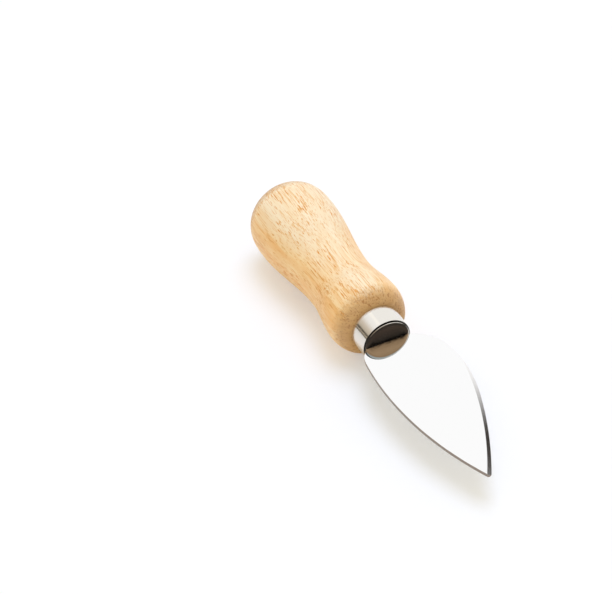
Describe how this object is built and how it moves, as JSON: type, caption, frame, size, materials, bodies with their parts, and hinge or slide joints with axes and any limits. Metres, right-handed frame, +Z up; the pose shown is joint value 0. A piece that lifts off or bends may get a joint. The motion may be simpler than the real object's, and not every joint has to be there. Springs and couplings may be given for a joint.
{
  "type": "cheese knife",
  "caption": "Small cheese knife with a pointed leaf-shaped steel blade, a short polished ferrule and a turned beech handle with a rounded butt.",
  "frame": {"origin": "on the table under the handle's axis, midway between the butt and the tip, with the knife lying on the two bulbs of its handle", "axes": "+X towards the blade's tip, +Z up, +Y on the side of the sharpened belly"},
  "size_m": [0.1384, 0.0302, 0.029],
  "materials": {
    "beech": "turned and sanded beech under a thin satin oil",
    "polished_ferrule_steel": "drawn stainless steel, polished",
    "mirror_blade_steel": "stamped stainless sheet, mirror polished, with a ground bevel",
    "cured_epoxy": "cast in the bore, clear amber"
  },
  "bodies": {
    "root": {"handle": "beech", "ferrule": "polished_ferrule_steel", "blade": "mirror_blade_steel", "tang_resin": "cured_epoxy"}
  },
  "joints": []
}
